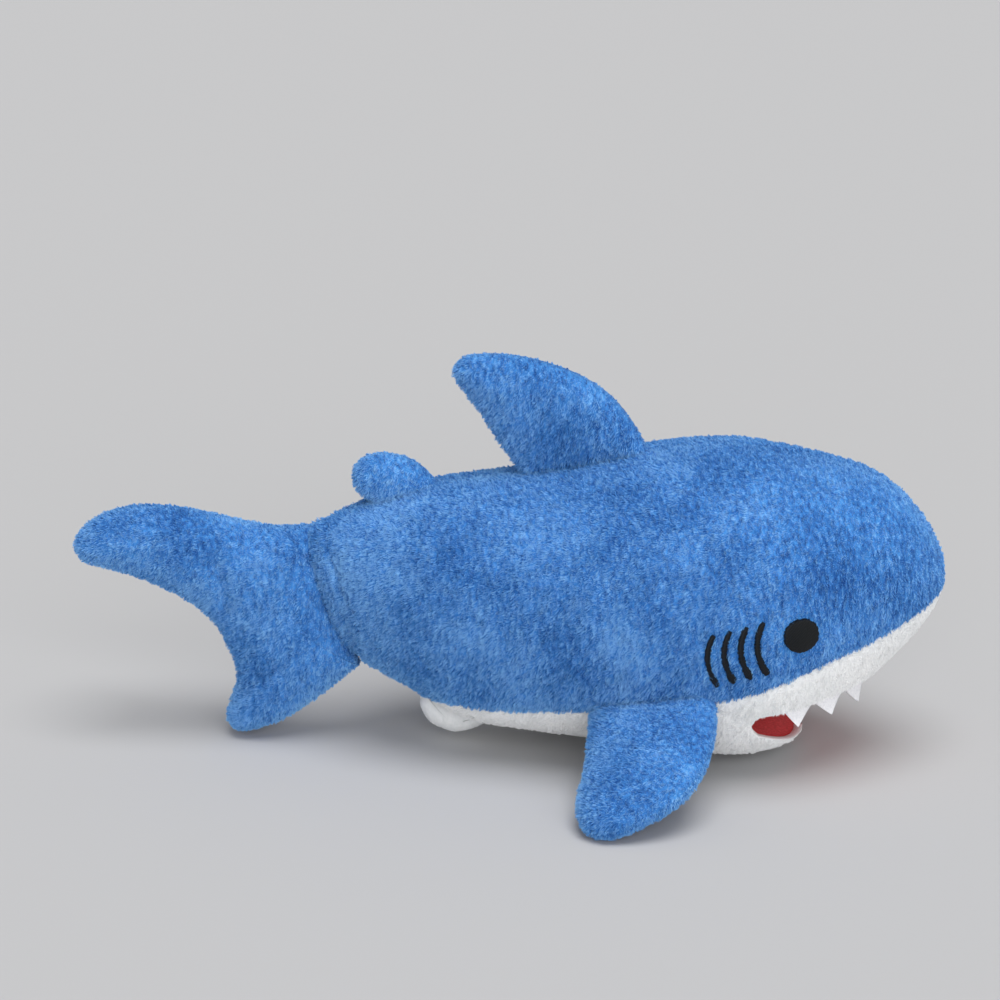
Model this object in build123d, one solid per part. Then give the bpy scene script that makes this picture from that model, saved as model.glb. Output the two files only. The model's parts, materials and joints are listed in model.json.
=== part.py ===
from build123d import *
import os
from math import cos, radians, sin, tan

# A stuffed plush shark, in millimetres. +X points to the nose, +Y to the shark's left, +Z up.
# The origin is the middle of the toy's footprint, on the surface that it rests on.
# Places along the trunk are given as distances behind the nose tip.

# ---- overall sizes ----
toy_length = 302.5
trunk_length = 222.0
trunk_height = 112.4
trunk_width = 99.6

# ---- cloth, thread and fit ----
fabric = 1.6  # short pile plush with its knitted backing
lining = 1.0  # smooth knit inside the mouth
felt = 1.2
stitch = 0.8  # how far the embroidery stands proud of the cloth
joint_gap = 0.3  # cloth to cloth where two bodies meet at a seam
skin_gap = 0.5  # a fin's root above the skin that it is sewn to

# ---- trunk sections, as percent of length behind the nose, then of height, height and width:
# middle of the section, half height, half width ----
trunk_sections = [
    (0.0, 59.0, 3.0, 3.0),
    (2.2, 59.5, 13.5, 12.5),
    (5.5, 60.0, 22.0, 20.5),
    (9.0, 59.5, 29.5, 27.5),
    (14.5, 56.5, 37.0, 36.0),
    (20.5, 51.5, 44.5, 44.0),
    (30.5, 49.7, 50.3, 50.0),
    (45.0, 50.0, 48.0, 48.0),
    (61.5, 48.5, 42.5, 42.0),
    (76.5, 47.5, 38.0, 35.0),
    (85.5, 49.0, 30.5, 24.0),
    (93.5, 49.5, 24.5, 12.5),
    (100.0, 49.5, 19.0, 7.0),
]

# ---- side seam between the back and the belly: behind the nose, height ----
side_seam = [(195, 18), (174, 21), (143, 21.5), (117, 26), (76, 33.5), (61, 37.5), (46, 44),
             (28, 48.5), (13, 54), (-4, 62)]

# ---- mouth, seen from the side ----
mouth_back = 65.2
mouth_corner_low = 20.0
mouth_corner_high = 25.0
palate_rise = 8.0  # degrees up towards the nose
floor_drop = 26.5  # degrees down towards the chin
snout_seam_top = (87.0, 40.5)
jaw_hinge = (62.0, 10.0)
jaw_root_radius = 8.8

# ---- teeth: cut from felt and caught in the upper lip seam ----
tooth_height = 6.5
teeth_corners = (4.0, 21.0, 34.0, 39.8)  # across from the middle line, to both sides
lip_tuck = 1.6

# ---- embroidered face ----
eye_place = (49.5, 58.4)
eye_diameter = 12.4
eye_facing = 0.18  # how far the eye is turned to the front
gill_count = 4
gill_first = (80.6, 50.5)
gill_pitch = 5.5
gill_rise = 1.6
gill_width = 2.0
gill_top = (1.9, 8.7)
gill_bottom = (3.3, -9.2)

# ---- fins: outlines in the plane of the fin, along the base and out from it ----
dorsal_base = (147.0, 102.3)
dorsal_outline = [(-8.5, 22), (-14.5, 36), (-10.5, 41.6), (-3, 42.4), (14, 37.8), (28, 30), (38.5, 18)]
dorsal_heart = (13, 17)
dorsal_thickness = 15.0

rear_dorsal_base = (197.0, 174.0)
rear_dorsal_outline = [(-3.6, 8), (-1.6, 14.5), (5.5, 17), (14.5, 13.8), (21.5, 6.5)]
rear_dorsal_heart = (9, 7.5)
rear_dorsal_thickness = 11.0

anal_base = (182.0, 156.0)
anal_outline = [(1.5, 3.5), (7, 8.5), (14.5, 10), (21.5, 7), (25.5, 2.8)]
anal_heart = (14, 6)
anal_thickness = 6.0

pectoral_base = (120.0, 76.5)
pectoral_heights = (23.9, 33.3)
pectoral_tip_drop = 22.7  # degrees below level, across the body
pectoral_outline = [(2, 16), (2.2, 40), (8.5, 54), (16, 56.8), (28, 53), (39, 43.5), (45.5, 29), (47, 14)]
pectoral_heart = (23, 26)
pectoral_thickness = 12.0

# ---- tail, in the upright plane: behind the nose, height ----
crease_middle = (210.0, 50.0)
crease_lean = 18.6  # degrees, the top further back
crease_top = 28.5  # from the middle, along the crease
crease_bottom = 24.5
tail_outline = [(241, 79.5), (262, 84), (278, 84.6), (295, 79.5), (302.5, 69), (297.5, 62.6), (279, 57.5),
                (258, 46.5), (246, 24), (249.6, 9), (245, 1.6), (227.5, 6.5)]
tail_heart = (233.0, 52.0)
tail_thickness = 20.0

# ---- hand stitches that close the stuffing gap, in the left side seam ----
closing_stitch_count = 8
closing_stitch_pitch = 4.0
closing_stitch_first = 172.0
closing_stitch_length = 4.0

nose_x = toy_length / 2
far = 400.0


def place(behind, z):
    return (nose_x - behind, z)


def trunk_loft(outward):
    """The trunk's skin moved outward by a distance, or inward where it is negative."""
    slices = []
    for behind, middle, half_height, half_width in trunk_sections:
        share = behind / 100
        x = nose_x - trunk_length * share + outward * (1 - 2 * share)
        wide = trunk_width * half_width / 100 + outward
        high = trunk_height * half_height / 100 + outward
        level = Plane(origin=(x, 0, trunk_height * middle / 100), x_dir=(0, 1, 0), z_dir=(1, 0, 0))
        slices.append(level * scale(Circle(1), by=(wide, high, 1)))
    return loft(slices, ruled=True)


def upright_prism(points, closed_by=None):
    """A slab right through the toy, from an outline in the upright plane along X."""
    edges = closed_by or []
    outline = Polyline(*points, close=not edges)
    return extrude(Plane.XZ * make_face([outline, *edges]), amount=far / 2, both=True)


def solids_of(shape):
    return [s for s in shape.solids() if s.volume > 0.02]


nodes = {}


def add(name, shape):
    print(name, flush=True)
    parts = solids_of(shape)
    nodes[name] = parts[0] if len(parts) == 1 else Compound(children=parts)


# ---- trunk skin and what is inside it, cut off square to the tail crease ----
crease_x, crease_z = place(*crease_middle)
lean = radians(crease_lean)
crease_up = Vector(-sin(lean), 0, cos(lean))
crease_ahead = Vector(cos(lean), 0, sin(lean))
crease_point = Vector(crease_x, 0, crease_z)
rear_cut = Plane(origin=crease_point + crease_ahead * joint_gap, z_dir=crease_ahead)

skin = split(trunk_loft(0), bisect_by=rear_cut, keep=Keep.TOP)
core = split(trunk_loft(-fabric), bisect_by=rear_cut, keep=Keep.TOP)

# ---- the belly is pressed flat where the toy lies on it ----
skin = split(skin, bisect_by=Plane.XY, keep=Keep.TOP)

# ---- side view zones ----
back_x, mouth_low = place(mouth_back, mouth_corner_low)
mouth_high = mouth_corner_high
ahead_x = nose_x + 20
palate_z = mouth_high + (ahead_x - back_x) * tan(radians(palate_rise))
floor_z = mouth_low - (ahead_x - back_x) * tan(radians(floor_drop))

lining_x = back_x - lining
jaw_x, jaw_z = place(*jaw_hinge)


def floor_at(x):
    return (x, mouth_low - (x - back_x) * tan(radians(floor_drop)))


mouth = upright_prism([(back_x, mouth_low), (back_x, mouth_high), (ahead_x, palate_z), (ahead_x, floor_z)])
palate_band = upright_prism([(lining_x, jaw_z), (lining_x, mouth_high + lining), (ahead_x, palate_z + lining),
                             (ahead_x, palate_z), (back_x, mouth_high), (back_x, mouth_low),
                             floor_at(jaw_x), (jaw_x, jaw_z)])
head_zone = upright_prism([(lining_x, mouth_high), (lining_x, far), (far, far), (far, mouth_high)])
ahead_zone = upright_prism([(lining_x, -far), (lining_x, far), (far, far), (far, -far)])

chin_x = jaw_x + 0.3 * jaw_root_radius  # the chin starts inside its round root
under_floor = upright_prism([floor_at(chin_x), (ahead_x, floor_z), (ahead_x, -far), (chin_x, -far)])
floor_band = upright_prism([(back_x, mouth_low), (ahead_x, floor_z), (ahead_x, floor_z - lining),
                            (back_x, mouth_low - lining)])


def jaw_zone(radius):
    root = Plane.XZ * Pos(jaw_x, jaw_z) * Circle(radius)
    return under_floor + extrude(root, amount=far / 2, both=True)


seam_points = [place(*p) for p in side_seam]
seam_edge = Spline(*seam_points)
above_seam = upright_prism([seam_points[-1], (far, seam_points[-1][1]), (far, far), (-far, far),
                            (-far, seam_points[0][1]), seam_points[0]], [seam_edge])

snout_top = place(*snout_seam_top)
snout_zone = upright_prism([snout_top, (back_x + 0.5, mouth_high - 0.5), (far, mouth_high - 0.5), (far, far),
                            (snout_top[0], far)])

# ---- trunk pieces ----
left_half = Pos(0, far / 2, 0) * Box(2 * far, far, 2 * far)
shell = skin - core
jaw_space = jaw_zone(jaw_root_radius + joint_gap)
back_shell = shell & above_seam
add("body_side_left", back_shell & left_half)
add("body_side_right", back_shell - left_half)

white_shell = shell - above_seam - mouth - jaw_space
add("snout_panel", white_shell & snout_zone)
add("belly_panel", white_shell - snout_zone)
add("palate_lining", (core & palate_band) - jaw_space)
add("body_stuffing", core - ahead_zone - jaw_space)
add("head_stuffing", (core & head_zone) - mouth - palate_band)

# ---- lower jaw ----
jaw = jaw_zone(jaw_root_radius) - mouth
add("chin_panel", shell & jaw)
add("mouth_floor_lining", core & jaw & floor_band)
add("chin_stuffing", (core & jaw) - floor_band)


# ---- teeth, in pairs from the middle of the upper lip to the corners ----
def lip_point(across):
    """A point of the upper lip edge, at a distance across from the middle line."""
    return skin_point(Vector(ahead_x, across, palate_z), Vector(-1, 0, -tan(radians(palate_rise))))


def skin_point(outside, inward):
    """Where a straight line from outside first meets the trunk's skin."""
    ray = Line(outside, outside + inward.normalized() * far)
    crossings = (ray & skin).vertices()
    return min((Vector(v) for v in crossings), key=lambda v: (v - outside).length)


def tooth(start, end):
    """A felt triangle under a stretch of the lip, its root tucked just inside the lip."""
    along = (end - start).normalized()
    hang = Plane(origin=start, x_dir=along, z_dir=along.cross(Vector(0, 0, 1)))
    down = -1 if hang.y_dir.Z > 0 else 1
    width = (end - start).length
    cut = Polyline((0, 0), (width, 0), (width / 2, down * tooth_height), close=True)
    return hang * extrude(make_face(cut), amount=felt / 2, both=True)


teeth = []
for side in (-1, 1):
    corners = [lip_point(side * across) for across in teeth_corners]
    for start, end in zip(corners, corners[1:]):
        tuck = (Vector(start.X - trunk_width / 2, 0, start.Z) - start).normalized() * lip_tuck
        teeth.append(tooth(start + tuck, end + tuck) - skin)
add("upper_teeth", Compound(children=[t for piece in teeth for t in piece.solids()]))

# ---- embroidered eyes, gills and the closing stitches, all lying on the cloth ----
eye_x, eye_z = place(*eye_place)
gill_x, gill_z = place(*gill_first)
for name, side in (("right", -1), ("left", 1)):
    on_skin = skin_point(Vector(eye_x, side * far / 2, eye_z), Vector(0, -side, 0))
    facing = Vector(eye_facing, side, (on_skin.Z - trunk_height / 2) / trunk_height).normalized()
    disc = Plane(origin=on_skin - facing * eye_diameter / 2, z_dir=facing) * extrude(
        Circle(eye_diameter / 2), amount=eye_diameter / 2 + stitch)
    add("eye_" + name, disc - skin)

    gills = []
    for i in range(gill_count):
        x = gill_x + i * gill_pitch
        z = gill_z + i * gill_rise
        surface = skin_point(Vector(x, side * far / 2, z), Vector(0, -side, 0))
        arc = ThreePointArc((x + gill_top[0], z + gill_top[1]), (x, z),
                            (x + gill_bottom[0], z + gill_bottom[1]))
        level = Plane.XZ.offset(-surface.Y - side * stitch)
        gills.append(extrude(level * trace(arc, gill_width), amount=side * 2 * gill_width) - skin)
    add("gills_" + name, Compound(children=[g for gill in gills for g in gill.solids()]))

stitches = []
for i in range(closing_stitch_count):
    x = nose_x - closing_stitch_first + i * closing_stitch_pitch
    cross = seam_edge & Line((x, -far), (x, far))
    surface = skin_point(Vector(x, far / 2, cross.vertices()[0].Y), Vector(0, -1, 0))
    bar = Pos(*surface) * Box(stitch, 2 * stitch, closing_stitch_length)
    stitches.append(bar - skin)
add("closing_stitches", Compound(children=[b for bar in stitches for b in bar.solids()]))


# ---- fins ----
def fin_plane(start, end, outward):
    """A fin's own plane: x along its base from start to end, y out from the trunk."""
    along = (end - start).normalized()
    out = (outward - along * outward.dot(along)).normalized()
    return Plane(origin=start, x_dir=along, z_dir=along.cross(out))


def stuffed_half(outline, heart, depth, side, level):
    """One half of a pillow: the outline at the seam plane, drawn in towards the heart as it rises."""
    slices = []
    for size, rise in ((1.0, 0.0), (0.78, 0.55), (0.5, 0.85), (0.25, 1.0)):
        slices.append(level.offset(side * depth * rise) * scale(outline, by=size, about=(*heart, 0)))
    return loft(slices, ruled=True)


def stuffed_fin(name, level, root, points, heart, thickness, sides):
    """Two cloth panels sewn round the edge, with stuffing inside."""
    outline = make_face([root, Spline(root @ 0, *points, root @ 1)])
    box = outline.bounding_box()
    shrink = 1 - 2 * fabric / min(box.size.X, box.size.Y)
    inner_outline = scale(outline, by=shrink, about=(*heart, 0))
    filling = None
    for side, side_name in zip((-1, 1), sides):
        outer = stuffed_half(outline, heart, thickness / 2, side, level)
        inner = stuffed_half(inner_outline, heart, thickness / 2 - fabric, side, level)
        add(name + "_" + side_name, outer - inner)
        filling = inner if filling is None else filling + inner
    add(name + "_stuffing", filling)


def skin_root(level, width):
    """The base edge of a fin, following the skin a little above it."""
    ends = []
    for share in (0, 0.5, 1):
        outside = level.from_local_coords(Vector(width * share, 60, 0))
        touch = level.to_local_coords(skin_point(outside, level.y_dir * -1))
        ends.append((touch.X, touch.Y + skin_gap))
    return ThreePointArc(*ends)


def skin_fin(name, start, end, outward, points, heart, thickness, sides):
    level = fin_plane(start, end, outward)
    root = skin_root(level, (end - start).length)
    stuffed_fin(name, level, root, points, heart, thickness, sides)
    print("hinge of", name, [round(c, 2) for c in start], [round(c, 4) for c in level.x_dir])


def middle_line_point(behind, up):
    return skin_point(Vector(nose_x - behind, 0, trunk_height * 0.5 + far / 2 * up), Vector(0, 0, -up))


flanks = ("right", "left")
for name, base, up, points, heart, thickness in (
        ("dorsal_fin", dorsal_base, 1, dorsal_outline, dorsal_heart, dorsal_thickness),
        ("rear_dorsal_fin", rear_dorsal_base, 1, rear_dorsal_outline, rear_dorsal_heart, rear_dorsal_thickness),
        ("anal_fin", anal_base, -1, anal_outline, anal_heart, anal_thickness)):
    start, end = (middle_line_point(behind, up) for behind in base)
    skin_fin(name, start, end, Vector(0, 0, up), points, heart, thickness, flanks if up < 0 else flanks[::-1])

for name, side in (("right", -1), ("left", 1)):
    ends = []
    for behind, z in zip(pectoral_base, pectoral_heights):
        ends.append(skin_point(Vector(nose_x - behind, side * far / 2, z), Vector(0, -side, 0)))
    drop = radians(pectoral_tip_drop)
    outward = Vector(0, side * cos(drop), -sin(drop))
    skin_fin("pectoral_fin_" + name, *ends, outward, pectoral_outline, pectoral_heart, pectoral_thickness,
             ("top", "bottom") if side < 0 else ("bottom", "top"))

# ---- tail ----
upright = Plane(origin=(nose_x, 0, 0), x_dir=(-1, 0, 0), z_dir=(0, 1, 0))
crease = []
for reach in (crease_top, -crease_bottom):
    end = crease_point + crease_up * reach
    crease.append((nose_x - end.X, end.Z))
stuffed_fin("tail", upright, Line(*crease), tail_outline, tail_heart, tail_thickness, flanks)

# ---- one file for each piece ----
os.makedirs("parts", exist_ok=True)
for name, shape in nodes.items():
    export_step(shape, os.path.join("parts", name + ".step"))
everything = Compound(children=list(nodes.values())).bounding_box()
print(len(nodes), "pieces", everything.min, everything.max)
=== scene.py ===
import json
import math
import random
import bmesh
import bpy
import numpy as np
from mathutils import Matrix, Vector
from mathutils.kdtree import KDTree


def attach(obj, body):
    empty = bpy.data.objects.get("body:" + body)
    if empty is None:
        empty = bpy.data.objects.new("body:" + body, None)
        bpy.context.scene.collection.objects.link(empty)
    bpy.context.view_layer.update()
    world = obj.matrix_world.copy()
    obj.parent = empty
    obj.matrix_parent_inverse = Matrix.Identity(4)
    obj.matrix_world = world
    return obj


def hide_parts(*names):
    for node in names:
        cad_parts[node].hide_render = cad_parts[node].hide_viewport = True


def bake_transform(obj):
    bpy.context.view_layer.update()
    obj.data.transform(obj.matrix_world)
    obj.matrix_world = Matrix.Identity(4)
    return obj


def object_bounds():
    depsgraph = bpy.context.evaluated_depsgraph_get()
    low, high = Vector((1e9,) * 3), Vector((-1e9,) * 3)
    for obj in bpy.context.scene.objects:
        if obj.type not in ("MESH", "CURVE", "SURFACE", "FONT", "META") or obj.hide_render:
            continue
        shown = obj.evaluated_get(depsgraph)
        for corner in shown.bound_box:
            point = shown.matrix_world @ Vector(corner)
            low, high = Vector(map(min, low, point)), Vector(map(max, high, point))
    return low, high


# A stuffed plush shark. Lengths are in millimetres in this script and in metres in Blender.
# +X is the nose, +Y the shark's left. Places along the trunk are measured back from the nose.

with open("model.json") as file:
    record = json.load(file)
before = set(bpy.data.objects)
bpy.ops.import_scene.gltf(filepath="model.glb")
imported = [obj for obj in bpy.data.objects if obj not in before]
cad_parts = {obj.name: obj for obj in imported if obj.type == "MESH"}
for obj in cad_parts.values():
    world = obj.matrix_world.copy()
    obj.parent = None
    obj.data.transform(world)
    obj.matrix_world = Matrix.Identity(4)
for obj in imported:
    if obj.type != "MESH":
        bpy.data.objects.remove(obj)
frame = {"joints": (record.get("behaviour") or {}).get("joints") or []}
cadLow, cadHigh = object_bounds()
noseX = cadHigh.x * 1000
random.seed(7)
print("frame loaded, nose at", round(noseX, 1), "mm")


def linearColour(hexCode):
    values = [int(hexCode[i:i + 2], 16) / 255 for i in (1, 3, 5)]
    return [v / 12.92 if v <= 0.04045 else ((v + 0.055) / 1.055) ** 2.4 for v in values] + [1.0]


def addNode(tree, kind, settings=None, links=None):
    node = tree.nodes.new(kind)
    for key, value in (settings or {}).items():
        if hasattr(node, str(key)):
            setattr(node, key, value)
        else:
            node.inputs[key].default_value = value
    for key, socket in (links or {}).items():
        tree.links.new(socket, node.inputs[key])
    return node


def newMaterial(name):
    material = bpy.data.materials.new(name)
    material.use_nodes = True
    tree = material.node_tree
    tree.nodes.clear()
    return material, tree


def rampNode(tree, factor, stops):
    ramp = addNode(tree, "ShaderNodeValToRGB", links={"Fac": factor})
    elements = ramp.color_ramp.elements
    while len(elements) < len(stops):
        elements.new(0.5)
    for element, (at, colour) in zip(elements, stops):
        element.position = at
        element.color = linearColour(colour)
    return ramp


def brushedPlush(name, look):
    # short pile polyester plush, sheared and brushed: streaks where the pile parts, a soft sheen where its
    # tips catch the light, and painted shade that makes each strand darker towards its root
    material, tree = newMaterial(name)
    place = addNode(tree, "ShaderNodeNewGeometry")
    lean = addNode(tree, "ShaderNodeMapping",
                   {"Rotation": (0, look["napTurn"], 0), "Scale": look["napStretch"]},
                   {"Vector": place.outputs["Position"]})
    tufts = addNode(tree, "ShaderNodeTexNoise",
                    {"Scale": 1000 / look["tuftMm"], "Detail": 3.0, "Roughness": 0.6},
                    {"Vector": lean.outputs["Vector"]})
    patches = addNode(tree, "ShaderNodeTexNoise", {"Scale": 1000 / look["patchMm"], "Detail": 2.0},
                      {"Vector": place.outputs["Position"]})
    strand = addNode(tree, "ShaderNodeHairInfo")
    tuftTone = addNode(tree, "ShaderNodeMath", {"operation": "MULTIPLY", 1: look["tuftTone"]},
                       {0: tufts.outputs["Fac"]})
    patchTone = addNode(tree, "ShaderNodeMath", {"operation": "MULTIPLY_ADD", 1: look["patchTone"]},
                        {0: patches.outputs["Fac"], 2: tuftTone.outputs["Value"]})
    tone = addNode(tree, "ShaderNodeMath", {"operation": "MULTIPLY_ADD", 1: look["strandTone"]},
                   {0: strand.outputs["Random"], 2: patchTone.outputs["Value"]})
    # painted shade: each strand's colour darkens from its tip towards its root, as if shaded deep in the pile
    rootShadedTone = addNode(tree, "ShaderNodeMath", {"operation": "MULTIPLY_ADD", 1: look["paintedRootShade"]},
                          {0: strand.outputs["Intercept"], 2: tone.outputs["Value"]})
    colour = rampNode(tree, rootShadedTone.outputs["Value"], look["tones"])
    bump = addNode(tree, "ShaderNodeBump", {"Strength": 0.6, "Distance": 0.0006},
                   {"Height": tufts.outputs["Fac"]})
    cloth = addNode(tree, "ShaderNodeBsdfPrincipled",
                    {"Roughness": 0.85, "Specular IOR Level": 0.25, "Sheen Weight": look["sheen"],
                     "Sheen Roughness": 0.45, "Sheen Tint": linearColour(look["sheenTint"])},
                    {"Base Color": colour.outputs["Color"], "Normal": bump.outputs["Normal"]})
    addNode(tree, "ShaderNodeOutputMaterial", links={"Surface": cloth.outputs["BSDF"]})
    return material


def plainCloth(name, look):
    # felt and brushed knit: matt, with a fine matted or knitted grain
    material, tree = newMaterial(name)
    place = addNode(tree, "ShaderNodeNewGeometry")
    grain = addNode(tree, "ShaderNodeTexNoise", {"Scale": 1000 / look["grainMm"], "Detail": 4.0},
                    {"Vector": place.outputs["Position"]})
    colour = rampNode(tree, grain.outputs["Fac"], look["tones"])
    bump = addNode(tree, "ShaderNodeBump", {"Strength": 0.4, "Distance": 0.0003},
                   {"Height": grain.outputs["Fac"]})
    cloth = addNode(tree, "ShaderNodeBsdfPrincipled",
                    {"Roughness": 0.9, "Specular IOR Level": 0.2, "Sheen Weight": look["sheen"],
                     "Sheen Roughness": 0.5},
                    {"Base Color": colour.outputs["Color"], "Normal": bump.outputs["Normal"]})
    addNode(tree, "ShaderNodeOutputMaterial", links={"Surface": cloth.outputs["BSDF"]})
    return material


def satinStitch(name, look):
    # rayon embroidery thread laid side by side: each thread is a fine glossy ridge
    material, tree = newMaterial(name)
    place = addNode(tree, "ShaderNodeNewGeometry")
    turned = addNode(tree, "ShaderNodeMapping", {"Rotation": look["turn"]},
                     {"Vector": place.outputs["Position"]})
    waveMm = 314.0  # from band to band of a wave texture at scale 1
    threads = addNode(tree, "ShaderNodeTexWave",
                      {"Scale": waveMm / look["threadMm"], "Distortion": 0.8, "Detail": 2.0},
                      {"Vector": turned.outputs["Vector"]})
    colour = rampNode(tree, threads.outputs["Fac"], look["tones"])
    bump = addNode(tree, "ShaderNodeBump", {"Strength": 0.7, "Distance": 0.0003},
                   {"Height": threads.outputs["Fac"]})
    thread = addNode(tree, "ShaderNodeBsdfPrincipled", {"Roughness": 0.55, "Specular IOR Level": 0.3},
                     {"Base Color": colour.outputs["Color"], "Normal": bump.outputs["Normal"]})
    addNode(tree, "ShaderNodeOutputMaterial", links={"Surface": thread.outputs["BSDF"]})
    return material


napLook = {
    "patchMm": 26.0, "patchTone": 0.50, "tuftTone": 0.72, "napTurn": 0.5, "napStretch": (1.0, 1.0, 0.35),
}
bluePlushLook = {
    # the strands' colour along their length holds painted shade, darker at the root than at the tip
    **napLook, "tuftMm": 1.5, "strandTone": 0.22, "paintedRootShade": 0.14, "sheen": 0.4, "sheenTint": "#b4d6f4",
    "tones": [(0.46, "#1c579f"), (0.70, "#448dd6"), (0.96, "#8cc6f6")],
}
whitePlushLook = {
    # the strands' colour along their length holds painted shade, darker at the root than at the tip
    **napLook, "tuftMm": 1.4, "strandTone": 0.20, "paintedRootShade": 0.10, "sheen": 0.2, "sheenTint": "#ffffff",
    "tones": [(0.4, "#eaedee"), (0.7, "#f7f8f9"), (0.95, "#ffffff")],
}
bluePlush = brushedPlush("blue_brushed_plush", bluePlushLook)
whitePlush = brushedPlush("white_brushed_plush", whitePlushLook)
redKnit = plainCloth("red_brushed_knit", {
    "grainMm": 0.9, "sheen": 0.15, "tones": [(0.2, "#bb1a20"), (0.55, "#e02e35"), (0.85, "#f2555b")]})
whiteFelt = plainCloth("white_pressed_felt", {
    "grainMm": 0.7, "sheen": 0.1, "tones": [(0.2, "#dcdde2"), (0.5, "#eeeef2"), (0.85, "#fafafc")]})
blackThread = satinStitch("black_satin_stitch", {
    "threadMm": 0.45, "turn": (0, 0.5, 0), "tones": [(0.1, "#030304"), (0.6, "#0c0f12"), (0.95, "#1c2126")]})
blueThread = satinStitch("blue_sewing_thread", {
    "threadMm": 0.4, "turn": (0, 0, 0), "tones": [(0.1, "#24579a"), (0.6, "#3a78c0"), (0.95, "#5a95d6")]})
print("materials made")


def makePiece(name, points, faces, material, body, nodes):
    mesh = bpy.data.meshes.new(name)
    mesh.from_pydata([tuple(c / 1000 for c in p) for p in points], [], faces)
    mesh.update()
    piece = bpy.data.objects.new(name, mesh)
    bpy.context.scene.collection.objects.link(piece)
    mesh.materials.append(material)
    tidyMesh(piece)
    if body:  # the belly's cloth rides on none, as it runs from the body on into the chin
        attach(piece, body)
    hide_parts(*nodes)
    return piece


def tidyMesh(piece):
    # one clean, smooth mesh: points that meet are joined, and slivers and loose points go
    shape = bmesh.new()
    shape.from_mesh(piece.data)
    bmesh.ops.remove_doubles(shape, verts=shape.verts, dist=0.00004)
    bmesh.ops.dissolve_degenerate(shape, edges=shape.edges, dist=0.00003)
    loose = [v for v in shape.verts if not v.link_faces]
    bmesh.ops.delete(shape, geom=loose, context="VERTS")
    bmesh.ops.recalc_face_normals(shape, faces=shape.faces)
    for face in shape.faces:
        face.smooth = True
    shape.to_mesh(piece.data)
    shape.free()


def gridFaces(rows, columns, closed=False):
    # closed joins each row's last point to its first
    faces = []
    for i in range(rows - 1):
        for j in range(columns if closed else columns - 1):
            a, b = i * columns + j, i * columns + (j + 1) % columns
            faces.append((a, b, b + columns, a + columns))
    return faces


def moved(faces, base):
    return [tuple(base + k for k in face) for face in faces]


def lumps(x, y, z, size, height):
    # slow, soft unevenness of hand stuffing
    return height * (math.sin(x / size + 1.3) * math.cos(z / size * 1.2 + 0.4) +
                     0.6 * math.sin((x + z) / size * 0.7 + y / size))


# the trunk, shared by the cloth of the back, the snout and the belly
trunk = {
    # behind the nose, middle height, half height, half width
    "sections": [(5, 67.0, 15.4, 12.5), (12, 67.4, 25.0, 20.4), (20, 66.7, 32.9, 27.4),
                 (25.4, 65.3, 37.2, 31.5), (32, 63.4, 41.6, 35.9), (39, 60.8, 45.7, 40.3),
                 (46, 57.9, 49.8, 44.0), (53, 56.7, 52.5, 47.3), (63, 56.1, 54.9, 49.4),
                 (70, 56.1, 55.8, 49.9), (84, 56.2, 55.2, 49.4), (101, 56.0, 53.4, 47.9),
                 (118.5, 55.3, 50.2, 45.1), (136, 54.3, 47.8, 42.0), (153, 53.6, 45.6, 39.2),
                 (170, 53.5, 42.8, 35.1), (187.5, 54.0, 34.9, 26.0), (201, 54.4, 28.2, 18.5),
                 (209, 54.6, 25.8, 14.5), (222, 55.0, 22.5, 11.0)],
    "noseHeight": 66.3, "middleSoftness": 5.0, "sizeSoftness": 3.0,
    "pile": 0.85,  # the cloth lies this far below the tips of its pile
    "lumpSize": 17.0, "lumpHeight": 0.35,
    # the crease at the root of the tail leans back, and the trunk closes round just behind it
    "creaseBehind": 210.0, "creaseHeight": 50.0, "creaseLean": 18.6, "leanFrom": 150, "leanTo": 208,
    "endRound": 13.0, "endOverlap": 3.6, "endShrink": 0.10,
    # the seam between blue and white: behind the nose, height
    "seam": [(197, 17.5), (174, 21), (143, 21.5), (117, 26), (76, 33.8), (61, 38.2), (46, 44), (28, 48.8),
             (13, 54), (0, 60.5)],
    "seamSoftness": 5.0,
}
grooves = {
    "seamDip": 1.0, "seamWidth": 1.5, "backSeamDip": 0.8, "backSeamWidth": 1.4,
    "cheekDip": 0.7, "cheekWidth": 1.5, "cheekTop": (78, 31),
    "ridgeDip": 3.0, "ridgeWidth": 1.7, "ridgeAhead": 1.5, "ridgeSweep": 6.5,
}
panels = {
    "backRings": 150, "backColumns": 96, "snoutColumns": 18, "sideColumns": 8, "bellyColumns": 22,
    "lipRings": 60, "throatRings": 34, "bellyRings": 90, "chinRings": 44,
    "crowdNose": 0.9, "crowdLip": 0.85,  # 0 spaces the rings evenly, near 1 crowds them at one end
}
mouth = {
    # where its corner is, half its opening there, and how far the lips rise and fall per millimetre ahead
    "back": 65.2, "corner": 22.8, "cornerHalf": 4.1, "palateRise": 0.115, "floorDrop": 0.53,
    "lipRoll": 1.5, "lipSwell": 0.3, "rollSteps": (0.2, 0.4, 0.6, 0.8, 1.0), "bareFrom": 0.3,
}
fineStep = 0.5
behindSamples = np.arange(-30, 240, fineStep)


def smoothed(xs, ys, width):
    # linear ends, then a soft running average
    values = np.interp(behindSamples, xs, ys)
    first = (ys[1] - ys[0]) / (xs[1] - xs[0])
    values = np.where(behindSamples < xs[0], ys[0] + (behindSamples - xs[0]) * first, values)
    half = int(3 * width / fineStep)
    kernel = np.exp(-0.5 * (np.arange(-half, half + 1) * fineStep / width) ** 2)
    kernel /= kernel.sum()
    padded = np.concatenate([values[0] + (np.arange(-half, 0)) * (values[1] - values[0]), values,
                             values[-1] + np.arange(1, half + 1) * (values[-1] - values[-2])])
    return np.convolve(padded, kernel, "valid")


sectionTable = np.array(trunk["sections"], float)
behindList = np.concatenate([[0.0], sectionTable[:, 0]])
middleLine = smoothed(behindList, np.concatenate([[trunk["noseHeight"]], sectionTable[:, 1]]),
                      trunk["middleSoftness"])
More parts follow.
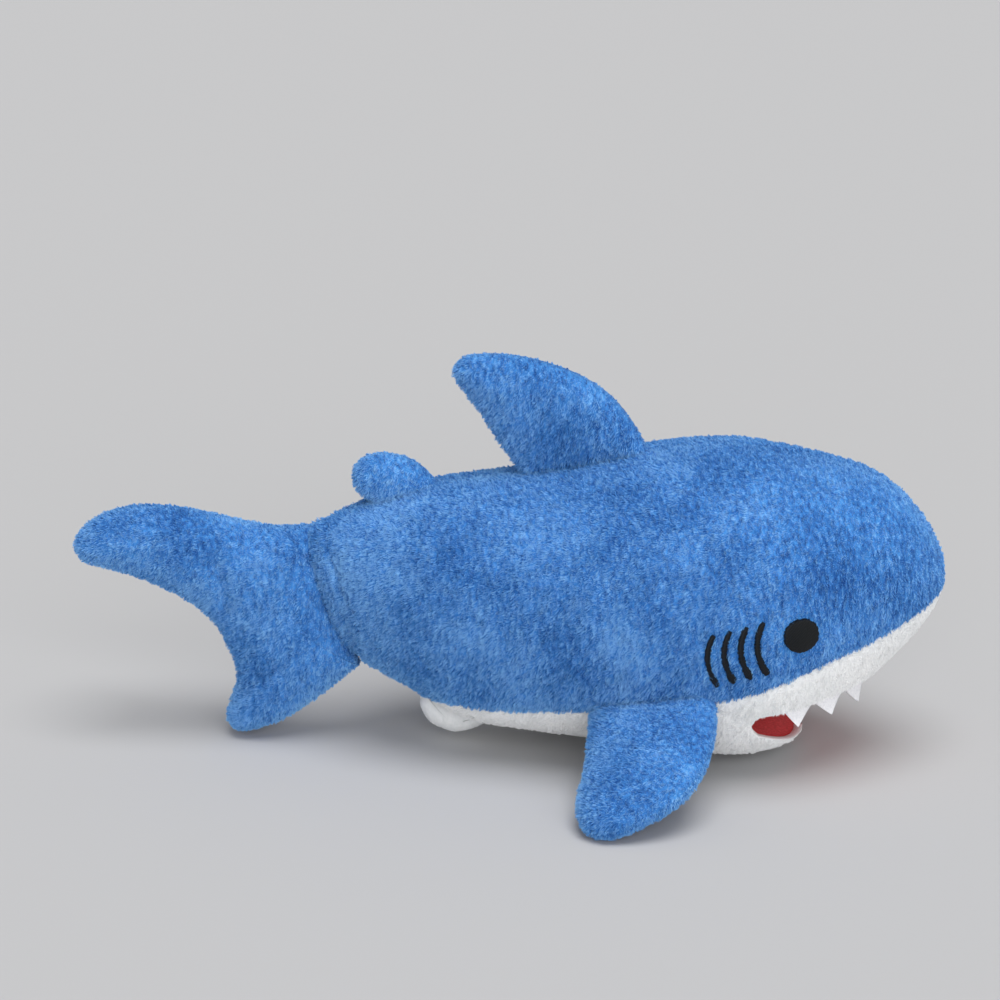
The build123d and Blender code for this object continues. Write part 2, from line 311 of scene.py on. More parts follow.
# half sizes are squared first, so that the nose comes out round
highSquared = smoothed(behindList, np.concatenate([[0.0], sectionTable[:, 2] ** 2]), trunk["sizeSoftness"])
wideSquared = smoothed(behindList, np.concatenate([[0.0], sectionTable[:, 3] ** 2]), trunk["sizeSoftness"])
seamTable = np.array(sorted(trunk["seam"]), float)
seamLine = smoothed(seamTable[:, 0], seamTable[:, 1], trunk["seamSoftness"])


def smoothStep(value, low, high):
    t = min(max((value - low) / (high - low), 0.0), 1.0)
    return t * t * (3 - 2 * t)


def section(behind):
    # middle height, half height and half width of the cloth
    middle = np.interp(behind, behindSamples, middleLine)
    high = math.sqrt(max(np.interp(behind, behindSamples, highSquared), 0.0))
    wide = math.sqrt(max(np.interp(behind, behindSamples, wideSquared), 0.0))
    high = max(high - trunk["pile"], 0.0)
    wide = max(wide - trunk["pile"], 0.0)
    close = (behind - (trunk["creaseBehind"] + trunk["endOverlap"] - trunk["endRound"])) / trunk["endRound"]
    if close > 0:
        wide *= math.sqrt(max(1 - min(close, 1.0) ** 2, 0.0))
        high *= 1 - trunk["endShrink"] * min(close, 1.0) ** 2
    return middle, high, wide


def trunkPoint(behind, angle, side):
    # angle runs from the bottom, -90 degrees, to the back, 90
    middle, high, wide = section(behind)
    y = wide * math.cos(angle)
    z = middle + high * math.sin(angle)
    x = noseX - behind
    lump = lumps(x, y * side, z, trunk["lumpSize"], trunk["lumpHeight"]) * smoothStep(behind, 10, 40)
    across = Vector((0, y / max(wide, 1) ** 2, (z - middle) / max(high, 1) ** 2))
    if across.length > 0:
        across.normalize()
    dip = lump - grooveDepth(behind, angle, z)
    y += across.y * dip
    z += across.z * dip
    lean = math.tan(math.radians(trunk["creaseLean"]))
    shear = lean * smoothStep(behind, trunk["leanFrom"], trunk["leanTo"])
    return Vector((x - shear * (z - trunk["creaseHeight"]), max(y, 0.0) * side, z))


def seamAngle(behind):
    middle, high, _ = section(behind)
    level = np.interp(behind, behindSamples, seamLine)
    if high <= 0.01:
        return -math.pi / 2
    return math.asin(min(max((level - middle) / high, -1.0), 0.9))


def segmentDistance(px, pz, a, b):
    dx, dz = b[0] - a[0], b[1] - a[1]
    t = min(max(((px - a[0]) * dx + (pz - a[1]) * dz) / (dx * dx + dz * dz), 0), 1)
    return math.hypot(px - a[0] - t * dx, pz - a[1] - t * dz)


def grooveDepth(behind, angle, z):
    # where two panels are sewn together the cloth dips to the seam
    _, high, wide = section(behind)
    toSeam = abs(angle - seamAngle(behind)) * (high + wide) / 2
    depth = grooves["seamDip"] * math.exp(-(toSeam / grooves["seamWidth"]) ** 2)
    toBack = abs(angle - math.pi / 2) * wide
    backSeam = grooves["backSeamDip"] * math.exp(-(toBack / grooves["backSeamWidth"]) ** 2)
    depth += backSeam * smoothStep(behind, 4, 20)
    toCheek = segmentDistance(behind, z, (mouth["back"], mouth["corner"] + 2), grooves["cheekTop"])
    depth += grooves["cheekDip"] * math.exp(-(toCheek / grooves["cheekWidth"]) ** 2)
    # a second crease just ahead of the tail's, joining it at the bottom and fading towards the back
    ridgeAhead = grooves["ridgeAhead"] + grooves["ridgeSweep"] * smoothStep(z, 26, 68)
    toRidge = behind - (trunk["creaseBehind"] - ridgeAhead)
    ridge = grooves["ridgeDip"] * math.exp(-(toRidge / grooves["ridgeWidth"]) ** 2)
    return depth + ridge * smoothStep(z, 22, 34) * (1 - 0.7 * smoothStep(z, 66, 80))


def lipHeights(behind):
    # the mouth opens quickly from its round corner, and its lower lip falls away towards the chin
    ahead = mouth["back"] - behind
    opening = mouth["cornerHalf"] * math.sqrt(min(max(ahead, 0) / 3.0, 1.0))
    upper = mouth["corner"] + opening + mouth["palateRise"] * max(ahead, 0)
    lower = mouth["corner"] - opening - mouth["floorDrop"] * max(ahead, 0)
    return upper, lower


def heightAngle(behind, height):
    middle, high, _ = section(behind)
    return math.asin(min(max((height - middle) / max(high, 0.01), -1.0), 1.0))


def crossing(test, low, high):
    # the place between low and high from which the test holds
    for _ in range(40):
        mid = (low + high) / 2
        if test(mid):
            high = mid
        else:
            low = mid
    return (low + high) / 2


# where the cloth begins at the nose, where the white ends, front and back, and where the lips meet
# the bottom of the trunk
noseBase = crossing(lambda b: section(b)[1] > 0.6 and section(b)[2] > 0.3, 0.0, 6.0)
bellyEnd = crossing(lambda b: seamAngle(b) < -1.569, 150.0, 200.0)
whiteTip = crossing(lambda b: seamAngle(b) > -1.50, noseBase, 12.0)
lipFront = crossing(lambda b: lipHeights(b)[0] - section(b)[0] + section(b)[1] > 0, 12.0, 60.0)
chinFront = crossing(lambda b: lipHeights(b)[1] - section(b)[0] + section(b)[1] > 0, 30.0, 64.0)
print("lip front", round(lipFront, 1), "chin front", round(chinFront, 1), "belly end", round(bellyEnd, 1))


def ringList(start, end, count, crowdStart=0.0, crowdEnd=0.0):
    values = []
    for i in range(count):
        t = i / (count - 1)
        t += crowdStart * (t * t - t)
        t -= crowdEnd * ((1 - t) ** 2 - (1 - t))
        values.append(start + (end - start) * t)
    return values


def makeBack():
    lastRing = trunk["creaseBehind"] + trunk["endOverlap"] - 0.02  # just short of the closed end
    rings = ringList(noseBase, lastRing, panels["backRings"], crowdStart=panels["crowdNose"])
    columns = panels["backColumns"]
    points = []
    for behind in rings:
        low = seamAngle(behind)
        for j in range(columns + 1):
            t = 2 * j / columns
            side = -1 if t <= 1 else 1
            angle = low + (math.pi / 2 - low) * (t if t <= 1 else 2 - t)
            points.append(trunkPoint(behind, angle, side))
    faces = gridFaces(len(rings), columns + 1)
    tip = len(points)
    middle = section(noseBase)[0]
    points.append(Vector((noseX - trunk["pile"], 0, middle)))
    faces += [(tip, j + 1, j) for j in range(columns)]
    faces.append((tip, 0, columns))
    return makePiece("back_cloth", points, faces, bluePlush, "body",
                     ["body_side_right", "body_side_left", "body_stuffing", "head_stuffing"])


barePoints = []  # places where no pile grows


def rollIn(point, swell):
    # the cloth turns over the lip edge and into the mouth, swelling down, -1, or up, 1
    inward = Vector((noseX - mouth["back"] - 6, 0, 0)) - Vector((point.x, point.y, 0))
    inward.normalize()
    radius = mouth["lipRoll"]
    points = []
    for step in mouth["rollSteps"]:
        turn = math.pi * step
        rise = radius * mouth["lipSwell"] * math.sin(turn) * swell
        points.append(point + inward * radius * (1 - math.cos(turn)) + Vector((0, 0, rise)))
        if step > mouth["bareFrom"]:
            barePoints.append(points[-1])
    return points


def clothStrip(rings, topAngle, edgeAngle, columns, side, swell=0):
    # cloth between two lines along one side of the trunk; with a swell, its lower edge is a lip
    rows = []
    for behind in rings:
        top, edge = topAngle(behind), edgeAngle(behind)
        row = [trunkPoint(behind, top + (edge - top) * j / columns, side) for j in range(columns + 1)]
        rows.append(row + rollIn(row[-1], swell) if swell else row)
    return [point for row in rows for point in row], gridFaces(len(rows), len(rows[0]))


def bottomAngle(behind):
    return -math.pi / 2


def midAngle(behind):
    # a line along the belly's side that ends at the corner of the mouth
    share = (seamAngle(mouth["back"]) - heightAngle(mouth["back"], mouth["corner"])) / (
        seamAngle(mouth["back"]) + math.pi / 2)
    return seamAngle(behind) - (seamAngle(behind) + math.pi / 2) * share


def upperLipAngle(behind):
    return min(heightAngle(behind, lipHeights(behind)[0]), seamAngle(behind))


def lowerLipAngle(behind):
    return heightAngle(behind, lipHeights(behind)[1])


def joinStrips(strips):
    points, faces = [], []
    for stripPoints, stripFaces in strips:
        faces += moved(stripFaces, len(points))
        points += stripPoints
    return points, faces


lipStart = 0.01  # the lips' first rings stand this far behind where they meet the bottom


def makeSnout():
    strips = []
    columns = panels["snoutColumns"]
    openRings = ringList(mouth["back"], lipFront + lipStart, panels["lipRings"], crowdEnd=panels["crowdLip"])
    closedRings = ringList(lipFront + lipStart, whiteTip, panels["throatRings"])
    for side in (-1, 1):
        strips.append(clothStrip(openRings, seamAngle, upperLipAngle, columns, side, swell=-1))
        strips.append(clothStrip(closedRings, seamAngle, bottomAngle, columns, side))
    points, faces = joinStrips(strips)
    return makePiece("snout_cloth", points, faces, whitePlush, "body", ["snout_panel"])


def makeBelly():
    strips = []
    columns = panels["bellyColumns"]
    rings = ringList(bellyEnd, mouth["back"], panels["bellyRings"])
    chinRings = ringList(mouth["back"], chinFront + lipStart, panels["chinRings"],
                         crowdEnd=panels["crowdLip"])
    for side in (-1, 1):
        strips.append(clothStrip(rings, seamAngle, midAngle, panels["sideColumns"], side))
        strips.append(clothStrip(rings, midAngle, bottomAngle, columns, side))
        strips.append(clothStrip(chinRings, bottomAngle, lowerLipAngle, columns, side, swell=1))
    points, faces = joinStrips(strips)
    return makePiece("belly_cloth", points, faces, whitePlush, None,
                     ["belly_panel", "chin_panel", "chin_stuffing"])


lining = {
    "across": 40, "deep": 26, "pocket": 9.0, "tuck": 1.2, "narrowing": 0.16,
    "reach": 0.8, "rest": 0.2,  # shares of the depth before and after the cloth meets the pocket's back
    "palate": {"backHeight": 3, "rise": 1.2, "bulge": 2.5, "drop": 11},
    "floor": {"backHeight": -3.5, "rise": -0.6, "bulge": 1.4, "drop": 0},
}


def lipCurve(angleAt, front):
    rings = ringList(mouth["back"], front + lipStart, panels["lipRings"], crowdEnd=panels["crowdLip"])
    return [trunkPoint(b, angleAt(b), 1) for b in rings]


def liningSheet(name, edge, shape, body, nodes):
    # a bag of knit cloth, bulging a little between the lips
    across, deep = lining["across"], lining["deep"]
    tuck = mouth["lipRoll"] * lining["tuck"]
    widest = max(p.y for p in edge)
    ys = np.array([p.y for p in edge])[::-1]
    xs = np.array([p.x for p in edge])[::-1]
    zs = np.array([p.z for p in edge])[::-1]
    backX = noseX - mouth["back"] - lining["pocket"]
    points = []
    for i in range(across + 1):
        u = math.sin((2 * i / across - 1) * math.pi / 2)
        y = u * (widest - tuck)
        edgeY = min(abs(y) + tuck, widest)
        startX = float(np.interp(edgeY, ys, xs)) - tuck
        startZ = float(np.interp(edgeY, ys, zs))
        fall = mouth["corner"] + shape["backHeight"] - startZ
        for k in range(deep + 1):
            t = k / deep
            inward = min(t / lining["reach"], 1.0)
            z = startZ + fall * t + shape["rise"] + shape["bulge"] * math.sin(inward * math.pi) * (1 - u * u)
            z -= shape["drop"] * max(t - lining["reach"], 0) / lining["rest"]
            x = startX + (backX - startX) * inward
            points.append(Vector((x, y * (1 - lining["narrowing"] * t * t), z)))
    faces = gridFaces(across + 1, deep + 1)
    return makePiece(name, points, faces, redKnit, body, nodes)


teeth = {
    "corners": (54.5, 44.0, 33.0, 25.2), "height": 7.0, "shortest": 0.94, "tallest": 1.05, "lean": 0.8,
    "thick": 1.1, "inset": 0.55, "tuck": 0.8, "hang": 0.4, "flare": 1.6, "fanBehind": 60, "steps": 10,
}


def makeTeeth():
    points, faces = [], []
    n = teeth["steps"]
    for side in (-1, 1):
        for start, end in zip(teeth["corners"], teeth["corners"][1:]):
            lean = random.uniform(-teeth["lean"], teeth["lean"])
            tall = teeth["height"] * random.uniform(teeth["shortest"], teeth["tallest"])
            for layer in (0, 1):
                base = len(points)
                for i in range(n + 1):
                    down = i / n
                    for j in range(n + 1):
                        t = 0.5 + (j / n - 0.5) * (1 - down)
                        behind = start + (end - start) * t
                        p = trunkPoint(behind, upperLipAngle(behind), side)
                        out = Vector((p.x - (noseX - teeth["fanBehind"]), p.y * 0.9, 0)).normalized()
                        p = p - out * (mouth["lipRoll"] * teeth["inset"] + teeth["thick"] * layer)
                        p += Vector((lean * down, 0, 0)) + out * (teeth["flare"] * down * down)
                        p.z += teeth["tuck"] - tall * down - teeth["hang"]
                        points.append(p)
                faces += moved(gridFaces(n + 1, n + 1), base)
            # the felt's cut edges join its two faces
            size = (n + 1) ** 2
            rims = (range(0, size, n + 1), range(n, size, n + 1), range(n + 1))
            for rim in rims:
                for a, b in zip(rim, rim[1:]):
                    faces.append((base + a, base + b, base + b - size, base + a - size))
    return makePiece("felt_teeth", points, faces, whiteFelt, "body", ["upper_teeth"])


sewing = {
    "inset": 0.9, "seamPull": 0.8, "rings": 26, "crowd": 1.7, "softenings": 14,
    "lumpSize": 9.0, "lumpHeight": 0.25,
}
pectoralFin = {
    "outline": [(1.4, 13), (2.6, 27), (2.2, 40), (5.0, 50), (9.5, 54.4), (16.5, 55.8), (27, 51.8), (38, 43.6),
                (44, 34), (46.6, 22), (46.8, 10)],
    "width": 45.7, "heart": (23, 26), "thick": 15.0, "round": 17.0, "root": 5.0,
}
fins = {
    # outlines: forward along the root, out from it; flip turns the joint's axis forward
    "dorsal_fin": {
        "joint": "dorsal_fin_bend", "out": (0, 0, 1), "flip": 1,
        "outline": [(-4.5, 11), (-9, 23), (-14.0, 34), (-14.6, 39), (-10.5, 42.6), (-3, 42.6), (7, 40.2),
                    (17, 36), (28, 29.2), (37, 20.2), (42.5, 10)],
        "width": 45.7, "heart": (13, 17), "thick": 15.0, "round": 15.0, "root": 5.0,
        "nodes": ["dorsal_fin_right", "dorsal_fin_left", "dorsal_fin_stuffing"]},
    "rear_dorsal_fin": {
        "joint": "rear_dorsal_fin_bend", "out": (0, 0, 1), "flip": 1,
        "outline": [(-3.4, 5), (-4.0, 10), (-1.4, 15), (5.0, 17.2), (13.5, 14.6), (20.5, 8.5)],
        "width": 24.3, "heart": (9, 7.5), "thick": 13.0, "round": 9.0, "root": 4.0,
        "nodes": ["rear_dorsal_fin_right", "rear_dorsal_fin_left", "rear_dorsal_fin_stuffing"]},
    "anal_fin": {
        "joint": "anal_fin_bend", "out": (0, 0, -1), "flip": 1,
        "outline": [(1.0, 3), (5, 7.2), (10, 8.8), (16, 8.8), (21.5, 6), (25.5, 2.4)],
        "width": 27.2, "heart": (14, 4), "thick": 9.0, "round": 6.0, "root": 4.0,
        "nodes": ["anal_fin_right", "anal_fin_left", "anal_fin_stuffing"]},
    "pectoral_fin_right": {
        **pectoralFin, "joint": "pectoral_fin_right_lift", "out": (0, -0.9225, -0.3859), "flip": -1,
        "nodes": ["pectoral_fin_right_top", "pectoral_fin_right_bottom", "pectoral_fin_right_stuffing"]},
    "pectoral_fin_left": {
        **pectoralFin, "joint": "pectoral_fin_left_lift", "out": (0, 0.9225, -0.3859), "flip": 1,
        "nodes": ["pectoral_fin_left_top", "pectoral_fin_left_bottom", "pectoral_fin_left_stuffing"]},
}
tail = {
    # behind the nose, height
    "outline": [(219.5, 78.6), (230, 78.2), (242, 79.8), (255, 82.8), (268, 84.6), (281, 84.4), (292, 81.2),
                (300, 75.2), (302.2, 69), (298.4, 63.4), (286, 60.4), (274, 56.0), (263, 50.2), (254.5, 43.4),
                (249.5, 35), (246.2, 26), (246.6, 17.5), (249.6, 9.5), (249.4, 4.4), (245.4, 1.4), (239, 2.2),
                (228.5, 6.4), (216, 15.2), (205, 24.6)],
    # the root runs this far into the trunk, and its ends lie this far below and above the outline's
    "rootAhead": 3.8, "topBelow": 5, "bottomAbove": 2.5,
    # folds: start, end, depth, width
    "folds": [((250, 66), (246.6, 50), 2.2, 2.8), ((243, 18), (230, 29), 1.6, 2.6),
              ((262, 72), (274, 68), 1.0, 3.0)],
    "heart": (236, 53), "thick": 23.0, "round": 17.0,
    "nodes": ["tail_right", "tail_left", "tail_stuffing"],
}
jointOf = {joint["name"]: joint for joint in frame["joints"]}


def closedCurve(corners, perSide, straightLast):
    # a smooth curve through the corners; the last side, the sewn root, stays straight
    count = len(corners)
    path = []
    for i in range(count - 1):
        p0 = corners[max(i - 1, 0)]
        p1, p2 = corners[i], corners[i + 1]
        p3 = corners[min(i + 2, count - 1)]
        for k in range(perSide):
            t = k / perSide
            path.append(tuple(0.5 * ((2 * p1[c]) + (p2[c] - p0[c]) * t +
                                     (2 * p0[c] - 5 * p1[c] + 4 * p2[c] - p3[c]) * t * t +
                                     (3 * p1[c] - p0[c] - 3 * p2[c] + p3[c]) * t ** 3) for c in (0, 1)))
    last, first = corners[-1], corners[0]
    for k in range(straightLast):
        t = k / straightLast
        path.append((last[0] + (first[0] - last[0]) * t, last[1] + (first[1] - last[1]) * t))
    return path


def inset(path, gap):
    # the seam lies a little inside the outline, which the pile fills out
    ring = np.array(path)
    along = np.roll(ring, -1, axis=0) - np.roll(ring, 1, axis=0)
    along /= np.maximum(np.linalg.norm(along, axis=1), 1e-9)[:, None]
    inward = np.stack([-along[:, 1], along[:, 0]], axis=1)
    area = (ring[:, 0] * np.roll(ring[:, 1], -1) - np.roll(ring[:, 0], -1) * ring[:, 1]).sum()
    return [tuple(p) for p in ring + inward * gap * (1 if area > 0 else -1)]


def edgeDistance(p, path):
    a = np.array(path)
    b = np.roll(a, -1, axis=0)
    d = b - a
    t = np.clip(((p - a) * d).sum(1) / np.maximum((d * d).sum(1), 1e-9), 0, 1)
    return float(np.sqrt(((a + d * t[:, None] - p) ** 2).sum(1)).min())


def pillow(path, heart, thick, roundOff):
    # grid of rings from the heart to the seam, with the thickness of a stuffed pillow
    rings, spokes = sewing["rings"], len(path)
    flat = np.zeros((rings + 1, spokes, 2))
    high = np.zeros((rings + 1, spokes))
    centre = np.array(heart, float)
    edge = np.array(path)
    for i in range(rings + 1):
        share = 1 - (1 - i / rings) ** sewing["crowd"]
        flat[i] = centre + (edge - centre) * share
        for k in range(spokes):
            reach = 0.0 if i == rings else min(edgeDistance(flat[i, k], path) / roundOff, 1.0)
            high[i, k] = thick / 2 * math.sqrt(max(1 - (1 - reach) ** 2, 0))
    for _ in range(sewing["softenings"]):
        around = (np.roll(high, 1, axis=1) + np.roll(high, -1, axis=1)) / 2
        middle = high.copy()
        middle[1:-1] = (high[2:] + high[:-2]) / 2
        blended = 0.5 * high + 0.25 * around + 0.25 * middle
        blended[0] = blended[1].mean()
        blended[-1] = 0
        blended[-2] = high[-2]
        high = blended
    return flat, high


def pillowMesh(path, shape, toWorld, folds=()):
    flat, high = pillow(path, shape["heart"], shape["thick"], shape["round"])
    for start, end, dip, width in folds:
        for i in range(high.shape[0] - 1):
            for k in range(high.shape[1]):
                gap = segmentDistance(flat[i, k][0], flat[i, k][1], start, end)
                high[i, k] -= min(dip, high[i, k] * 0.4) * math.exp(-(gap / width) ** 2)
    rings, spokes = high.shape
    centre = np.array(shape["heart"], float)
    points, faces = [], []
    for side in (-1, 1):
        base = len(points)
        for i in range(rings):
            for k in range(spokes):
                at = flat[i, k]
                if i == rings - 1:
                    pull = centre - at
                    at = at + pull / max(np.linalg.norm(pull), 1e-6) * sewing["seamPull"]
                wobble = lumps(at[0], side * 7.0, at[1], sewing["lumpSize"], sewing["lumpHeight"])
                wobble *= min(high[i, k] / 4, 1.0)
                points.append(toWorld(at[0], at[1], side * (high[i, k] + wobble)))
        faces += moved(gridFaces(rings, spokes, closed=True), base)
    return points, faces


def makeFin(name, fin):
    joint = jointOf[fin["joint"]]
    along = Vector(joint["axis"]).normalized() * fin["flip"]
    out = Vector(fin["out"])
    out = (out - along * along.dot(out)).normalized()
    across = along.cross(out)
    origin = Vector(joint["pos_m"]) * 1000

    def toWorld(u, v, w):
        return origin + along * u + out * v + across * w

    width, root = fin["width"], fin["root"]
    corners = [(0.5, -root), (0, 0), *fin["outline"], (width, 0), (width - 0.5, -root)]
    path = inset(closedCurve(corners, perSide=8, straightLast=24), sewing["inset"])
    points, faces = pillowMesh(path, fin, toWorld)
    white = name == "anal_fin"
    return makePiece(name + "_cloth", points, faces, whitePlush if white else bluePlush, name,
                     fin["nodes"])


def makeTail():
    lean = math.radians(trunk["creaseLean"])
    ahead = Vector((math.cos(lean), math.sin(lean)))

    def toWorld(behind, z, w):
        return Vector((noseX - behind, w, z))

    corners = tail["outline"]
    first, last = corners[0], corners[-1]
    shift = (-ahead.x * tail["rootAhead"], ahead.y * tail["rootAhead"])
    corners = [(first[0] + shift[0], first[1] - tail["topBelow"]), *corners,
               (last[0] + shift[0], last[1] + tail["bottomAbove"])]
    path = inset(closedCurve(corners, perSide=7, straightLast=26), sewing["inset"])
    points, faces = pillowMesh(path, tail, toWorld, tail["folds"])
    return makePiece("tail_cloth", points, faces, bluePlush, "tail", tail["nodes"])


def skinAt(behind, z, side, lift):
    # a point of the side's cloth by its height, lifted off it
    middle, high, wide = section(behind)
    share = min(max((z - middle) / high, -0.999), 0.999)
    y = wide * math.sqrt(1 - share * share)
    taper = 0.28 * smoothStep(95 - behind, 0, 50)  # the head narrows towards the nose
    normal = Vector((taper, y / wide, (z - middle) / high ** 2 * wide)).normalized()
    point = Vector((noseX - behind, y, z)) + normal * lift
    return Vector((point.x, point.y * side, point.z))


eye = {
    "behind": 49.6, "height": 58.6, "across": 12.0, "proud": 1.9, "dome": 0.35, "sunk": -0.4,
    "trimmedIn": -0.07, "trimmedOut": 0.03, "rings": 14, "spokes": 84,
}
gills = {
    "count": 4, "behind": 80.4, "height": 50.6, "pitch": 5.45, "rise": 1.55, "width": 2.0, "proud": 2.0,
    "top": (-1.9, 8.7), "bottom": (-3.4, -9.4), "ragged": 0.22, "steps": 46, "arcs": 8,
}


def makeEye(side, name):
    rings, spokes = eye["rings"], eye["spokes"]
    edge = [random.uniform(eye["trimmedIn"], eye["trimmedOut"]) for _ in range(spokes)]
    points = []
    for i in range(rings + 1):
        share = i / rings
        for k in range(spokes):
            turn = 2 * math.pi * k / spokes
            ragged = 1 + edge[k] * share ** 6
            reach = eye["across"] / 2 * share * ragged
            lift = eye["proud"] * (1 - 0.15 * share ** 2) + eye["dome"] * (1 - share ** 2)
            if i == rings:
                lift = eye["sunk"]
                reach = eye["across"] / 2 * ragged * 0.995
            points.append(skinAt(eye["behind"] - reach * math.cos(turn),
                                 eye["height"] + reach * math.sin(turn), side, lift))
    faces = gridFaces(rings + 1, spokes, closed=True)
    return makePiece("eye_" + name + "_thread", points, faces, blackThread, "body",
                     ["eye_" + name])


def gillPoint(g, t):
    # a parabola from the top of a gill line through its middle to the bottom
    top, bottom = gills["top"], gills["bottom"]
    a = (1 - t) * (1 - 2 * t)
    b = t * (2 * t - 1)
    return (gills["behind"] - g * gills["pitch"] + top[0] * a + bottom[0] * b,
            gills["height"] + g * gills["rise"] + top[1] * a + bottom[1] * b)


def makeGills(side, name):
    points, faces = [], []
    steps, arcs = gills["steps"], gills["arcs"]
    for g in range(gills["count"]):
        base = len(points)
        for i in range(steps + 1):
            t = i / steps
            at = gillPoint(g, t)
            before = gillPoint(g, max(t - 0.02, 0))
            after = gillPoint(g, min(t + 0.02, 1))
            along = Vector((after[0] - before[0], after[1] - before[1])).normalized()
            cross = Vector((along.y, -along.x))
            uneven = 0.12 * math.sin(i * 2.4 + g)
            half = gills["width"] / 2 * (1 + uneven + random.uniform(-gills["ragged"], gills["ragged"]))
            half *= min(1.0, 0.55 + 6 * t, 0.75 + 6 * (1 - t)) * (1 + 0.25 * smoothStep(t, 0.75, 0.9))
            for j in range(arcs + 1):
                turn = math.pi * j / arcs
                reach = -math.cos(turn) * half
                lift = gills["proud"] * (math.sin(turn) ** 0.6) - 0.5 if 0 < j < arcs else -0.6
                points.append(skinAt(at[0] + cross.x * reach, at[1] + cross.y * reach, side, lift + 0.2))
        faces += moved(gridFaces(steps + 1, arcs + 1), base)
        for end in (0, steps):
            faces.append(tuple(base + end * (arcs + 1) + j for j in range(arcs + 1)))
    return makePiece("gills_" + name + "_thread", points, faces, blackThread, "body",
                     ["gills_" + name])


stitch = {
    "first": 172.0, "pitch": 4.0, "count": 8, "length": 4.0, "radius": 0.45, "slant": 0.8, "proud": 1.5,
    "trunkRadius": 40, "steps": 8, "around": 8,
}


def makeClosingStitches():
    # short hand stitches across the left side's seam
    steps, around = stitch["steps"], stitch["around"]
    points, faces = [], []
    for i in range(stitch["count"]):
        behind = stitch["first"] - i * stitch["pitch"]
        base = len(points)
        for k in range(steps + 1):
            t = k / steps - 0.5
            angle = seamAngle(behind) + t * stitch["length"] / stitch["trunkRadius"]
            mid = trunkPoint(behind - t * stitch["slant"], angle, 1)
            out = Vector((0, math.cos(angle), math.sin(angle)))
            mid = mid + out * (stitch["proud"] - 6 * t * t)
            for j in range(around):
                turn = math.pi * 2 * j / around
                points.append(mid + Vector((math.cos(turn), 0, 0)) * stitch["radius"] +
                              out * math.sin(turn) * stitch["radius"])
        faces += moved(gridFaces(steps + 1, around, closed=True), base)
        for end in (0, steps):
            faces.append(tuple(base + end * around + j for j in range(around)))
    return makePiece("closing_thread", points, faces, blueThread, "body", ["closing_stitches"])


pile = {
    "tuftsPerSquareCm": 90, "strandsPerTuft": 6, "length": 1.65, "root": 0.26, "tip": 0.11, "clump": 0.16,
    "stand": 0.62, "lean": 0.55, "scatter": 0.34, "curl": 0.35, "bareReach": 1.15,
    # which way it leans, and its size on the white cloth and the limbs, as a share of the back's
    "backLean": (-0.7, 0, -0.4), "snoutLean": (-0.6, 0, -0.5), "bellyLean": (-0.8, 0, -0.2),
    "tailLean": (-0.7, 0, -0.35), "dorsalLean": (-0.5, 0, -0.7), "lowFinLean": (-0.5, 0, -0.5),
    "whiteLength": 0.7, "whiteThick": 0.9, "limbLength": 0.85,
}


def markBare(side):
    # places about 1 mm apart under the eye and the gill lines, which the pile keeps clear of
    for ring in range(7):
        for k in range(36):
            turn = math.pi * k / 18
            barePoints.append(skinAt(eye["behind"] + ring * math.cos(turn) * 0.92,
                                     eye["height"] + ring * math.sin(turn) * 0.92, side, 0))
    for g in range(gills["count"]):
        for t in np.linspace(0, 1, 16):
            barePoints.append(skinAt(*gillPoint(g, t), side, 0))


def addPile(piece, lean, length=1.0, thick=1.0):
    # leaning tufts, thin at the tips, none under the embroidery and inside the lips
    mesh = piece.data
    group = piece.vertex_groups.new(name="pileHere")
    for vertex in mesh.vertices:
        gap = bareTree.find(vertex.co * 1000)[2]
        group.add([vertex.index], 1.0 if gap > pile["bareReach"] else 0.0, "REPLACE")
    area = sum(face.area for face in mesh.polygons) * 10000
    density = pile["tuftsPerSquareCm"] * 1.0
    modifier = piece.modifiers.new("pile", "PARTICLE_SYSTEM")
    system = modifier.particle_system
    settings = system.settings
    settings.type = "HAIR"
    settings.count = int(area * density)
    settings.hair_step = 3
    settings.use_advanced_hair = True
    settings.emit_from = "FACE"
    settings.use_modifier_stack = True
    settings.distribution = "RAND"
    quarter = pile["length"] * length / 4000  # the strand's reach is four times its starting speed
    settings.normal_factor = quarter * pile["stand"]
    settings.object_align_factor = tuple(quarter * c * pile["lean"] for c in lean)
    settings.factor_random = quarter * pile["scatter"]
    settings.brownian_factor = quarter * pile["curl"]
    settings.child_type = "INTERPOLATED"
    settings.rendered_child_count = pile["strandsPerTuft"]
    settings.child_percent = 0
    settings.clump_factor = pile["clump"]
    settings.clump_shape = 0.1
    settings.roughness_2 = 0.0002
    settings.display_step = 3
    settings.render_step = 3
    settings.root_radius = pile["root"] * thick
    settings.tip_radius = pile["tip"] * thick
    settings.radius_scale = 0.001
    settings.shape = 0.3
    settings.material = 1
    system.seed = 3 + len(piece.name)
    system.vertex_group_density = "pileHere"
    return int(area * density)


back = makeBack()
snout = makeSnout()
belly = makeBelly()
print("trunk cloth made")

upperEdge = lipCurve(upperLipAngle, lipFront)
lowerEdge = lipCurve(lowerLipAngle, chinFront)
liningSheet("palate_knit", upperEdge, lining["palate"], "body", ["palate_lining"])
liningSheet("mouth_floor_knit", lowerEdge, lining["floor"], "lower_jaw", ["mouth_floor_lining"])
makeTeeth()
print("mouth made")

finPieces = {name: makeFin(name, fin) for name, fin in fins.items()}
tailPiece = makeTail()
print("fins and tail made")

for side, name in ((-1, "right"), (1, "left")):
    makeEye(side, name)
    makeGills(side, name)
    markBare(side)
makeClosingStitches()
bareTree = KDTree(len(barePoints))
for index, point in enumerate(barePoints):
    bareTree.insert(point, index)
bareTree.balance()
print("embroidery made")
